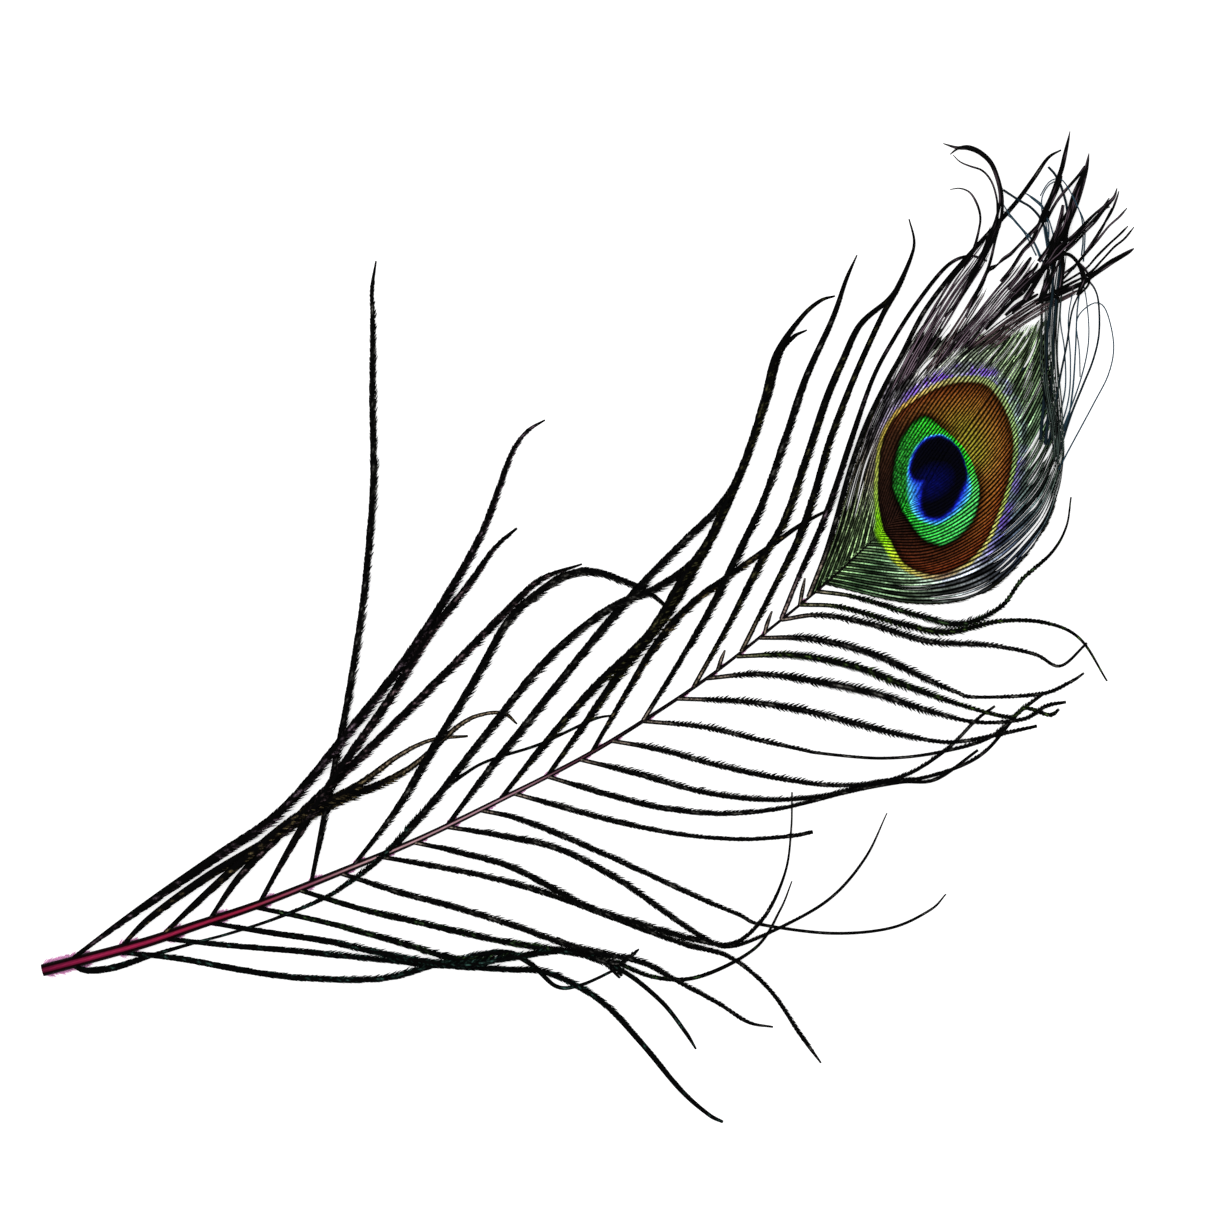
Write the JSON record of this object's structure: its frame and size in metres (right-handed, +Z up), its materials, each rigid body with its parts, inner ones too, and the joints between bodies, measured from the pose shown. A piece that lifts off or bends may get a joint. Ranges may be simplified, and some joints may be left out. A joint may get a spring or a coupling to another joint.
{
  "type": "peacock feather",
  "caption": "Short-cut peacock train feather with a tapering quill, long loose curving barbs, an oval eye and a ragged tip plume, lying flat.",
  "frame": {"origin": "on the surface the feather lies on, under the middle of its outline", "axes": "+X from the cut end of the quill towards the tip of the plume, +Z up from the surface, with the feather's coloured upper face looking up"},
  "size_m": [0.3038, 0.209, 0.0037],
  "materials": {
    "barb": "near-black keratin with a soft green and bronze gloss",
    "quill": "smooth dyed quill, crimson at the cut and dusty pink along its middle",
    "eye": "iridescent eye: indigo core, green ring, bronze ring with a yellow-green and violet rim"
  },
  "bodies": {
    "root": {"feather": "barb"}
  },
  "joints": []
}
